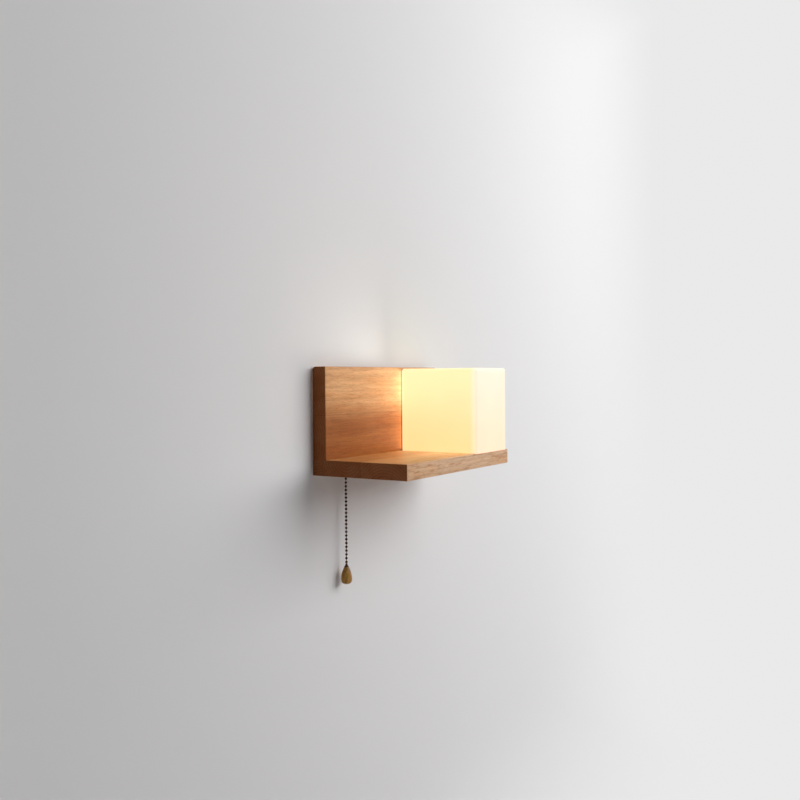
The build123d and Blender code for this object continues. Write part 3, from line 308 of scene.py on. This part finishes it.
def board_wood(name, across, seams, heart, heart_step, tints, end_tint, painted_sheen_edge_tint=None, tone_and_shadow_fade=None):
    """Glued strips with the grain along X; each strip has its own heart line, tint and place in the tree.

    An edge tint is painted sheen: it makes the front and rear edges paler and greyer, in place of the
    strips' tints.
    A tone and shadow fade is two positions across the board and the tint past the second one, partly painted
    shadow.
    """
    look = Finish(name)
    position = look.axes(look.place)[across]
    strip = strip_number(look, position, seams)
    shift = look.vector(look.calc("MULTIPLY", strip, STRIP_SHIFT), 0.0, 0.0)
    tree = look.node("ShaderNodeVectorMath", {0: look.place, 1: shift}, operation="ADD").outputs[0]
    late = growth_rings(look, strip, heart, heart_step, tree)
    fibre = look.noise(FIBRES, place=tree)
    streak = look.noise(STREAKS, detail=4.0, rough=0.62, place=tree)
    blotch = look.noise(BLOTCHES, place=tree)
    dash = look.step(look.noise(DASHES, detail=2.0, place=tree), *DASH_SPREAD)
    pores = look.step(look.noise(PORES, detail=1.0, place=tree), *PORE_SPREAD)
    figure = look.step(look.noise(FIGURES, rough=0.6, place=tree), *FIGURE_SPREAD)
    facing = look.axes(look.normal)
    end = look.step(look.calc("ABSOLUTE", facing["X"]), *END_FACING)
    edge = look.step(look.calc("ABSOLUTE", facing["Y"]), *EDGE_FACING) if painted_sheen_edge_tint else 0.0

    wood = look.mix(look.calc("MULTIPLY", late, LATE_SHARE), EARLY_WOOD, LATE_WOOD)
    wood = look.uneven(wood, streak, start=0.88, end=1.09, spread=BOARD_SPREAD)
    wood = look.tinted(wood, BLOTCH_TINT, look.step(blotch, *BLOTCH_SPREAD, end=BLOTCH_SHARE))
    strip_tint = look.ramp(look.calc("DIVIDE", strip, len(seams)), tints)

    face = look.tinted(wood, strip_tint, look.calc("SUBTRACT", 1.0, edge))
    # Painted shadow, partly a deeper tone of the wood: darker past the fade's second position
    if tone_and_shadow_fade:
        start, stop, tone_and_shadow_tint = tone_and_shadow_fade
        face = look.tinted(face, tone_and_shadow_tint, look.step(position, start, stop))
    face = look.tinted(face, DASH_TINT, look.calc("MULTIPLY", dash, DASH_SHARE))
    figure = look.calc("MULTIPLY", figure, look.step(edge, 0.0, 1.0, *FIGURE_SHARES))
    face = look.tinted(face, FIGURE_TINT, figure)
    face = look.uneven(face, fibre, start=0.90, end=1.08, spread=BOARD_SPREAD)
    face = look.tinted(face, LATE_WOOD, look.calc("MULTIPLY", pores, PORE_SHARE))
    # Painted sheen: the edges paler and greyer
    if painted_sheen_edge_tint:
        face = look.tinted(face, painted_sheen_edge_tint, edge)

    end_face = look.tinted(look.tinted(wood, strip_tint, END_STRIP_SHARE), end_tint)
    end_face = look.tinted(end_face, DASH_TINT, look.calc("MULTIPLY", late, END_LATE_SHARE))
    dots = look.noise(END_DOTS, detail=1.0)
    end_face = look.uneven(end_face, dots, start=1.0, end=0.70, spread=DOT_SPREAD)

    colour = look.mix(end, face, end_face)
    for seam in seams:
        distance = look.calc("ABSOLUTE", look.calc("SUBTRACT", position, seam))
        colour = look.tinted(colour, GLUE_TINT, look.step(distance, *SEAM_EDGES, end=GLUE_SHARE))
    gloss = look.calc("ADD", look.step(fibre, *WIDE_SPREAD, 0.34, 0.48), look.calc("MULTIPLY", end, 0.16))
    look.set(Base_Color=colour, Roughness=gloss, Specular_IOR_Level=0.12)
    look.set(Coat_Weight=look.step(end, 0.0, 1.0, 0.12, 0.03), Coat_Roughness=0.24)
    height = look.calc("SUBTRACT", fibre, look.calc("MULTIPLY", pores, 0.6))
    look.bump(height, depth=0.00012, strength=0.5)
    return look.material


def turned_wood(name, light, dark):
    """Small turned piece with the grain along Z."""
    look = Finish(name)
    fibre = look.noise(TURNED_FIBRES)
    pores = look.step(look.noise(TURNED_PORES, detail=1.0), *PORE_SPREAD)
    colour = look.mix(look.step(fibre, *SPREAD), light, dark)
    colour = look.uneven(colour, look.noise(TURNED_CLOUDS, detail=2.0), start=0.82, end=1.12)
    colour = look.tinted(colour, dark, look.calc("MULTIPLY", pores, 0.5))
    look.set(Base_Color=colour, Roughness=look.step(fibre, *WIDE_SPREAD, 0.34, 0.46), Specular_IOR_Level=0.2)
    look.set(Coat_Weight=0.08, Coat_Roughness=0.2)
    look.bump(fibre, depth=0.00008, strength=0.4)
    return look.material


# Metals
def metal(name, colour, dull, rough):
    """Machined or plated metal: fine marks, cloudy tarnish and a varying gloss."""
    look = Finish(name)
    marks = look.noise(SCRATCHES)
    tarnish = look.step(look.noise(420.0), *TARNISH_SPREAD, end=0.8)
    gloss = look.step(marks, *WIDE_SPREAD, rough - 0.06, rough + 0.08)
    gloss = look.calc("ADD", gloss, look.calc("MULTIPLY", tarnish, 0.12))
    tint = look.uneven(look.mix(tarnish, colour, dull), marks, start=0.92, end=1.04)
    look.set(Base_Color=tint, Metallic=1.0, Roughness=gloss)
    look.bump(marks, depth=0.00004, strength=0.35)
    return look.material


def zinc_sheet(name):
    """Galvanised sheet with its crystal flakes."""
    look = Finish(name)
    flake = look.flakes(150.0)
    fine = look.noise(500.0)
    colour = look.mix(flake, (0.36, 0.38, 0.40), (0.47, 0.49, 0.51))
    colour = look.mix(look.step(fine, *DUST_SPREAD, end=0.5), colour, (0.38, 0.38, 0.37))
    look.set(Base_Color=colour, Metallic=1.0, Roughness=look.step(flake, 0.0, 1.0, 0.34, 0.52))
    look.bump(fine, depth=0.00003, strength=0.3)
    return look.material


# Plastics, rubber, ceramic and paint
def moulded(name, colour, rough, grain=900.0, depth=0.00003, coat=0.0):
    """Moulded plastic or rubber: a fine grain and a slight unevenness of tone."""
    look = Finish(name)
    fine = look.noise(grain, detail=2.0)
    tint = look.uneven(colour, look.noise(90.0), start=0.93, end=1.04)
    look.set(Base_Color=tint, Roughness=look.step(fine, *WIDE_SPREAD, rough - 0.05, rough + 0.07))
    look.set(Coat_Weight=coat, Coat_Roughness=0.15)
    look.bump(fine, depth, strength=0.5)
    return look.material


def porcelain(name):
    """White glaze over a faintly speckled body."""
    look = Finish(name)
    speck = look.step(look.noise(700.0, detail=1.0), *SPECK_SPREAD, end=0.35)
    colour = look.mix(speck, (0.86, 0.85, 0.80), (0.55, 0.48, 0.40))
    look.set(Base_Color=colour, Roughness=0.30, Coat_Weight=1.0, Coat_Roughness=0.06)
    look.bump(look.noise(55.0, detail=2.0), depth=0.0002, strength=0.4)
    return look.material


def enamel(name):
    """White paint on sheet steel, with its orange-peel skin."""
    look = Finish(name)
    dust = look.noise(40.0, detail=4.0)
    dusty = look.step(dust, *DUST_SPREAD, end=0.35)
    colour = look.mix(dusty, (0.86, 0.86, 0.84), (0.74, 0.73, 0.69))
    look.set(Base_Color=colour, Roughness=look.step(dust, *SPREAD, 0.30, 0.42))
    look.bump(look.noise(650.0, detail=1.0), depth=0.00004, strength=0.5)
    return look.material


def wire_skin(name, colour, stripe=None):
    """Insulation; a second colour runs along one side where there is a stripe."""
    look = Finish(name)
    fine = look.noise(300.0, detail=2.0)
    tint = look.uneven(colour, fine, start=0.92, end=1.05)
    if stripe:
        sides = {0: look.normal, 1: (0.62, 0.35, 0.70)}
        turned = look.node("ShaderNodeVectorMath", sides, operation="DOT_PRODUCT").outputs["Value"]
        tint = look.mix(look.step(turned, 0.05, 0.12), tint, stripe)
    look.set(Base_Color=tint, Roughness=0.38)
    look.bump(fine, depth=0.00003, strength=0.4)
    return look.material


# Lit pieces
def rise(look, node):
    """0 at a node's foot and 1 at its top."""
    low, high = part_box(node)
    return look.step(look.axes(look.place)["Z"], low.z, high.z)


def opal_glass(name):
    """Opal glass lit from inside, brightest in the upper half and warmer towards the foot; its sides glow
    yellower than its front, painted light by which way a face turns.
    """
    look = Finish(name)
    height = rise(look, "glass_shade")
    # Painted light: the glow changes from the sides over the rounded edges to the front
    turn = look.calc("ABSOLUTE", look.axes(look.normal)["Y"])
    glow = look.mix(look.step(turn, 0.05, 0.75), look.mix(height, *SIDE_GLOW), look.mix(height, *EDGE_GLOW))
    glow = look.mix(look.step(turn, 0.70, 1.0), glow, look.mix(height, *FRONT_GLOW))
    glow = look.uneven(glow, look.noise(14.0, detail=2.0), start=0.97, end=1.02)
    look.set(Base_Color=(0.30, 0.295, 0.28), Roughness=0.30, Specular_IOR_Level=0.3)
    look.set(Emission_Color=glow, Emission_Strength=1.0)
    look.bump(look.noise(30.0, detail=1.0), depth=0.0002, strength=0.25)
    return look.material


def bulb_diffuser(name):
    """Glowing opal dome of the bulb, a little dimmer at its rim."""
    look = Finish(name)
    glow = look.mix(rise(look, "bulb_globe"), *BULB_GLOW)
    look.set(Base_Color=(0.92, 0.91, 0.87), Roughness=0.35, Emission_Color=glow, Emission_Strength=1.0)
    look.bump(look.noise(800.0, detail=1.0), depth=0.00002, strength=0.3)
    return look.material


def dress(material, *nodes):
    """Gives CAD nodes their finish."""
    for node in nodes:
        slots = NODES[node].data.materials
        slots.clear()
        slots.append(material)


def finishes():
    """A finish for every CAD node."""
    dress(board_wood("shelf wood", **SHELF_WOOD), "shelf_board")
    dress(board_wood("back board wood", **BACK_WOOD), "back_board")
    dress(turned_wood("dowel beech", light=(0.68, 0.50, 0.30), dark=(0.55, 0.37, 0.20)), "joint_dowels")
    dress(turned_wood("knob wood", light=(0.47, 0.250, 0.050), dark=(0.20, 0.093, 0.017)), "pull_knob")
    dress(zinc_sheet("zinc plate"), "wall_plate")
    dress(metal("zinc screws", (0.66, 0.66, 0.63), dull=(0.48, 0.46, 0.40), rough=0.34),
          "joint_screws", "wall_plate_screws", "terminal_fixings", "tray_screws", "lampholder_screws")
    dress(metal("spring steel", (0.60, 0.60, 0.61), dull=(0.45, 0.44, 0.44), rough=0.26),
          "switch_spring", "shade_springs")
    dress(metal("bright brass", (0.80, 0.58, 0.26), dull=(0.55, 0.36, 0.15), rough=0.26),
          "terminal_screws", "switch_contacts", "switch_nipple", "nipple_nut", "lampholder_shell",
          "lampholder_contact", "earth_tag", "earth_screw")
    dress(metal("dark bronze", (0.062, 0.038, 0.022), dull=(0.024, 0.015, 0.010), rough=0.34),
          "chain_top", "chain_swivel", "chain_drop", "chain_bell")
    dress(metal("nickel cap", (0.72, 0.70, 0.66), dull=(0.58, 0.55, 0.50), rough=0.24),
          "bulb_tip", "bulb_cap")
    dress(moulded("grommet rubber", (0.028, 0.028, 0.028), rough=0.62, grain=700.0, depth=0.00006),
          "cable_grommet")
    dress(moulded("terminal nylon", (0.80, 0.79, 0.73), rough=0.45), "terminal_block")
    dress(moulded("switch moulding", (0.085, 0.048, 0.030), rough=0.40), "switch_case", "switch_cover")
    dress(moulded("white nylon", (0.80, 0.79, 0.74), rough=0.42), "switch_plunger", "ratchet_drum")
    dress(moulded("black insulator", (0.02, 0.02, 0.02), rough=0.25, coat=0.5), "bulb_insulator")
    dress(moulded("bulb housing", (0.86, 0.86, 0.84), rough=0.28, coat=0.3), "bulb_housing")
    dress(porcelain("porcelain glaze"), "lampholder_body")
    dress(enamel("white enamel"), "shade_tray")
    dress(wire_skin("brown wire", (0.20, 0.085, 0.03)), "wire_live")
    dress(wire_skin("black wire", (0.025, 0.025, 0.025)), "wire_switched")
    dress(wire_skin("blue wire", (0.04, 0.15, 0.42)), "wire_neutral")
    dress(wire_skin("earth wire", (0.10, 0.34, 0.05), stripe=(0.75, 0.62, 0.05)), "wire_earth")
    dress(opal_glass("opal glass"), "glass_shade")
    dress(bulb_diffuser("bulb diffuser"), "bulb_globe")


def return_spring():
    """The switch's spring as a piece of its own on the frame, in place of the CAD spring, which is hidden.
    """
    coil = add("return_spring", NODES["switch_spring"].data.copy())
    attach(coil, "frame")
    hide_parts("switch_spring")
    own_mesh(coil)


# Stage
def plaster(name, window=False):
    """Pale paint, even far from the lamp; clear from behind, so that views from there reach the lamp's rear.

    A window also lets light through to the rear of the boards that cover it.
    """
    look = Finish(name)
    look.set(Base_Color=WALL_PAINT, Roughness=0.85, Specular_IOR_Level=0.2)
    look.bump(look.noise(260.0), depth=0.0001, strength=0.3)
    place = look.axes(look.place)
    aside = look.step(look.calc("ABSOLUTE", place["X"]), *FADE_ASIDE)
    upright = look.step(look.calc("ABSOLUTE", place["Z"]), *FADE_UPRIGHT)
    rays = look.node("ShaderNodeLightPath", {}).outputs
    seen = look.calc("MAXIMUM", rays["Is Camera Ray"], rays["Is Glossy Ray"])
    seen = look.calc("MAXIMUM", seen, rays["Is Transmission Ray"])
    far = look.calc("MULTIPLY", look.calc("MAXIMUM", aside, upright), seen)
    even = look.node("ShaderNodeEmission", {"Strength": BACKDROP})
    front = look.node("ShaderNodeMixShader", {0: far, 1: look.shader.outputs[0], 2: even.outputs[0]})
    clear = look.node("ShaderNodeBsdfTransparent", {})
    through = look.node("ShaderNodeNewGeometry", {}).outputs["Backfacing"]
    if window:
        through = look.calc("MAXIMUM", through, rays["Is Shadow Ray"])
    both = look.node("ShaderNodeMixShader", {0: through, 1: front.outputs[0], 2: clear.outputs[0]})
    look.feed(look.output.inputs["Surface"], both.outputs[0])
    return look.material


def stage():
    """Wall and floor in one sheet with a round cove between them, and a window behind the boards."""
    board_low, board_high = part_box("back_board")
    shelf_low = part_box("shelf_board")[0]
    sides = (-STAGE_REACH, board_low.x + WINDOW_INSET, board_high.x - WINDOW_INSET, STAGE_REACH)
    heights = (STAGE_REACH, board_high.z - WINDOW_TOP_INSET, shelf_low.z + WINDOW_INSET)
    outline = [(WALL_GAP, height) for height in heights]
    for step in range(COVE_STEPS + 1):
        turn = math.pi / 2 * step / COVE_STEPS
        outline.append((WALL_GAP - COVE * (1 - math.cos(turn)), FLOOR_Z + COVE * (1 - math.sin(turn))))
    outline.append((-STAGE_REACH, FLOOR_Z))
    points = [(side, y, z) for y, z in outline for side in sides]
    rows, columns = len(outline) - 1, len(sides) - 1
    faces = []
    for row in range(rows):
        for column in range(columns):
            corner = row * len(sides) + column
            below = corner + len(sides)
            faces.append((corner, below, below + 1, corner + 1))
    mesh = bpy.data.meshes.new("wall and floor")
    mesh.from_pydata(points, [], faces)
    mesh.shade_smooth()
    mesh.materials.append(plaster("wall paint"))
    mesh.materials.append(plaster("wall behind the boards", window=True))
    mesh.polygons[WINDOW_ROW * columns + WINDOW_COLUMN].material_index = 1
    add("wall and floor", mesh)


# Light
def area_lamp(name, place, target, size, watts):
    """Soft rectangle of light that the camera doesn't see."""
    data = bpy.data.lights.new(name, "AREA")
    data.shape = "RECTANGLE"
    data.size, data.size_y = size
    data.energy = watts
    lamp = add(name, data)
    lamp.location = place
    lamp.rotation_euler = (Vector(target) - Vector(place)).to_track_quat("-Z", "Y").to_euler()
    lamp.visible_camera = False
    return lamp


def glow_lamp(name, place, towards, width, watts):
    """Light of the lit shade, which rides on it and isn't mirrored in gloss."""
    lamp = area_lamp(name, place, place + towards, (width, GLOW_HEIGHT), watts)
    lamp.data.color = WARM
    lamp.visible_glossy = False
    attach(lamp, "shade")


def shade_light():
    """Light of the shade's left side, its rounded rear edge and its rear."""
    low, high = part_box("glass_shade")
    middle = (low + high) / 2
    side = Vector((low.x - SIDE_GAP, middle.y, middle.z))
    glow_lamp("side glow", side, -X, SIDE_WIDTH, SIDE_WATTS)
    edge = Vector((low.x + REAR_EDGE_IN, high.y - REAR_EDGE_IN, middle.z))
    glow_lamp("rear edge glow", edge, Y - X, REAR_EDGE_WIDTH, REAR_EDGE_WATTS)
    rear = Vector((middle.x, high.y + REAR_GAP, middle.z))
    glow_lamp("rear glow", rear, Y, REAR_WIDTH, REAR_WATTS)


def bulb_light():
    """Warm light from the bulb, seen outside once the shade is lifted; its dome lets it through."""
    low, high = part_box("bulb_globe")
    data = bpy.data.lights.new("bulb light", "POINT")
    data.energy = BULB_WATTS
    data.color = BULB_LIGHT
    data.shadow_soft_size = BULB_SOFTNESS
    lamp = add("bulb light", data)
    lamp.location = (low + high) / 2
    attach(lamp, "bulb")
    NODES["bulb_globe"].visible_shadow = False


def room():
    """White room that sheds little light, but is as bright as the backdrop where it is seen or mirrored."""
    world = bpy.data.worlds.new("room")
    bpy.context.scene.world = world
    world.use_nodes = True
    tree = world.node_tree
    ground = tree.nodes["Background"]
    ground.inputs["Color"].default_value = (1.0, 1.0, 1.0, 1.0)
    rays = tree.nodes.new("ShaderNodeLightPath").outputs
    seen = tree.nodes.new("ShaderNodeMath")
    seen.operation = "MAXIMUM"
    tree.links.new(rays["Is Camera Ray"], seen.inputs[0])
    tree.links.new(rays["Is Glossy Ray"], seen.inputs[1])
    strength = tree.nodes.new("ShaderNodeMapRange")
    strength.inputs["To Min"].default_value = ROOM_STRENGTH
    strength.inputs["To Max"].default_value = BACKDROP
    tree.links.new(seen.outputs[0], strength.inputs["Value"])
    tree.links.new(strength.outputs[0], ground.inputs["Strength"])


def light():
    area_lamp("key", **KEY_LAMP)
    area_lamp("rear", **REAR_LAMP)
    shade_light()
    bulb_light()
    room()


def camera():
    """The picture's camera."""
    yaw, pitch, roll = CAMERA_YAW, CAMERA_PITCH, CAMERA_ROLL
    ahead = Vector((math.sin(yaw) * math.cos(pitch), math.cos(yaw) * math.cos(pitch), math.sin(pitch)))
    level = Vector((math.cos(yaw), -math.sin(yaw), 0.0))
    up = level.cross(ahead)
    right = level * math.cos(roll) + up * math.sin(roll)
    top = right.cross(ahead)
    data = bpy.data.cameras.new("camera")
    data.sensor_width = SENSOR
    data.lens = FOCAL_PIXELS / PICTURE * SENSOR
    made = add("camera", data)
    made.matrix_world = Matrix.Translation(CAMERA_PLACE) @ Matrix((right, top, -ahead)).transposed().to_4x4()
    bpy.context.scene.camera = made


finishes()
return_spring()
stage()
light()
camera()
bpy.context.scene.view_settings.view_transform = "Standard"
